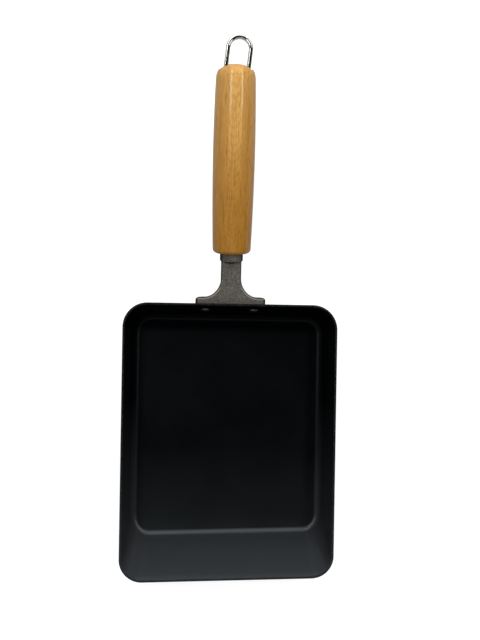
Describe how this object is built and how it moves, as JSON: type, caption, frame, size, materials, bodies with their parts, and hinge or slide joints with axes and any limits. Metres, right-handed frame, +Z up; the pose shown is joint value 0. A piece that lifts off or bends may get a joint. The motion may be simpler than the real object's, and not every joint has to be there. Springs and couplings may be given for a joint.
{
  "type": "tamagoyaki pan",
  "caption": "Rectangular iron omelette pan with a sloped pouring side, a riveted cast bracket, a wooden handle and a wire hanging loop.",
  "frame": {"origin": "centre of the flat underside of the pan's base, on the surface it stands on", "axes": "+Z up out of the pan, +Y along the handle seen from above, +X to the right with the handle pointing away"},
  "size_m": [0.152, 0.3822, 0.0707],
  "materials": {
    "pan_iron": "matte, fine-textured dark heat-treated iron sheet",
    "bracket_casting": "rough grey-brown casting",
    "rivet_steel": "darkened steel rivet heads",
    "handle_wood": "varnished golden beech with fine dark flecks",
    "rod_steel": "zinc-plated steel",
    "loop_chrome": "polished plated flat wire"
  },
  "bodies": {
    "pan": {"pan_body": "pan_iron", "handle_bracket": "bracket_casting", "rivet_left": "rivet_steel", "rivet_right": "rivet_steel", "wood_handle": "handle_wood", "tie_rod": "rod_steel", "rod_washer": "rod_steel"},
    "loop": {"hanging_loop": "loop_chrome"}
  },
  "joints": [
    {"name": "loop_swing", "type": "hinge", "parent": "pan", "child": "loop", "pos_m": [0, 0.24209, 0.05876], "axis": [1, 0, 0], "range_deg": [0, 28]}
  ]
}
